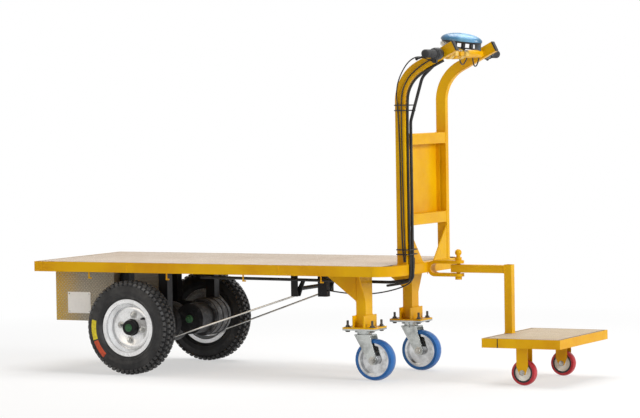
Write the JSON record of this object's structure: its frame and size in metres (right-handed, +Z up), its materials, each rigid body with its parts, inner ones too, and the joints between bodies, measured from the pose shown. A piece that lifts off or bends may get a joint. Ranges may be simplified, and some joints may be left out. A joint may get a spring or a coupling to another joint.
{
  "type": "electric platform cart",
  "caption": "Flat-deck electric platform cart with driven pneumatic wheels at one end, swivel casters at the other, a tall tubular handle frame, and a trailing standing step on a pin hitch.",
  "frame": {"origin": "on the floor, under the middle of the whole machine's bounding box", "axes": "+X from the drive end to the step end, +Y to the left of a person looking along +X, +Z up; it travels towards -X"},
  "size_m": [2.238, 0.7138, 1.3345],
  "materials": {
    "yellow_paint": "semi-gloss",
    "deck_board": "matt, patterned",
    "black_paint": "satin",
    "tyre_rubber": "matt",
    "rim_silver": "semi-gloss",
    "drum_alloy": "cast",
    "zinc": "satin",
    "blue_tread": "satin",
    "grey_core": "satin",
    "red_tread": "satin",
    "pale_core": "matt",
    "dark_plastic": "matt",
    "grip_rubber": "matt",
    "cable_rubber": "satin",
    "lamp_blue": "gloss",
    "lamp_lens": "clear",
    "bright_steel": "bright"
  },
  "bodies": {
    "cart": {"axle_stands": "black_paint", "battery_box": "yellow_paint", "battery_pack": "dark_plastic", "brake_crank": "black_paint", "brake_levers": "black_paint", "brake_plates": "zinc", "brake_rods": "bright_steel", "cable_stop": "black_paint", "caster_legs": "yellow_paint", "caster_mounts": "yellow_paint", "caster_plates": "zinc", "crossbar": "yellow_paint", "deck_board": "deck_board", "deck_ribs": "yellow_paint", "drive_axle": "black_paint", "drive_motor": "black_paint", "edge_front": "yellow_paint", "edge_rear": "yellow_paint", "edge_sides": "yellow_paint", "grips": "grip_rubber", "handle_beam": "yellow_paint", "handle_panel": "yellow_paint", "handle_rails": "yellow_paint", "handlebar": "black_paint", "harness": "cable_rubber", "hitch_clevis": "yellow_paint", "hitch_pin": "bright_steel", "lamp_body": "dark_plastic", "lamp_lens": "lamp_lens", "lamp_shell": "lamp_blue", "tie_hooks": "yellow_paint", "upright_braces": "yellow_paint", "uprights": "yellow_paint"},
    "drive_wheel_left": {"tyre_left": "tyre_rubber", "rim_left": "rim_silver", "drum_left": "drum_alloy"},
    "caster_left": {"caster_fork_left": "zinc"},
    "caster_wheel_left": {"caster_core_left": "grey_core", "caster_tread_left": "blue_tread"},
    "step_wheel_left": {"step_core_left": "pale_core", "step_tread_left": "red_tread"},
    "drive_wheel_right": {"tyre_right": "tyre_rubber", "rim_right": "rim_silver", "drum_right": "drum_alloy"},
    "caster_right": {"caster_fork_right": "zinc"},
    "caster_wheel_right": {"caster_core_right": "grey_core", "caster_tread_right": "blue_tread"},
    "step_wheel_right": {"step_core_right": "pale_core", "step_tread_right": "red_tread"},
    "step": {"drawbar": "yellow_paint", "step_post": "yellow_paint", "step_edge": "yellow_paint", "step_board": "deck_board", "step_forks": "yellow_paint"}
  },
  "joints": [
    {"name": "drive_spin_left", "type": "hinge", "parent": "cart", "child": "drive_wheel_left", "pos_m": [-0.68, 0.31, 0.1875], "axis": [0, 1, 0], "continuous": true},
    {"name": "caster_swivel_left", "type": "hinge", "parent": "cart", "child": "caster_left", "pos_m": [0.299, 0.207, 0.2], "axis": [0, 0, 1], "continuous": true},
    {"name": "caster_spin_left", "type": "hinge", "parent": "caster_left", "child": "caster_wheel_left", "pos_m": [0.344, 0.207, 0.08], "axis": [0, 1, 0], "continuous": true},
    {"name": "drive_spin_right", "type": "hinge", "parent": "cart", "child": "drive_wheel_right", "pos_m": [-0.68, -0.31, 0.1875], "axis": [0, 1, 0], "continuous": true},
    {"name": "caster_swivel_right", "type": "hinge", "parent": "cart", "child": "caster_right", "pos_m": [0.299, -0.207, 0.2], "axis": [0, 0, 1], "continuous": true},
    {"name": "caster_spin_right", "type": "hinge", "parent": "caster_right", "child": "caster_wheel_right", "pos_m": [0.344, -0.207, 0.08], "axis": [0, 1, 0], "continuous": true},
    {"name": "step_swing", "type": "hinge", "parent": "cart", "child": "step", "pos_m": [0.603, 0, 0.421], "axis": [0, 0, 1], "range_deg": [-60, 60]},
    {"name": "step_spin_left", "type": "hinge", "parent": "step", "child": "step_wheel_left", "pos_m": [0.955, 0.191, 0.049], "axis": [0, 1, 0], "continuous": true},
    {"name": "step_spin_right", "type": "hinge", "parent": "step", "child": "step_wheel_right", "pos_m": [0.955, -0.191, 0.049], "axis": [0, 1, 0], "continuous": true}
  ]
}
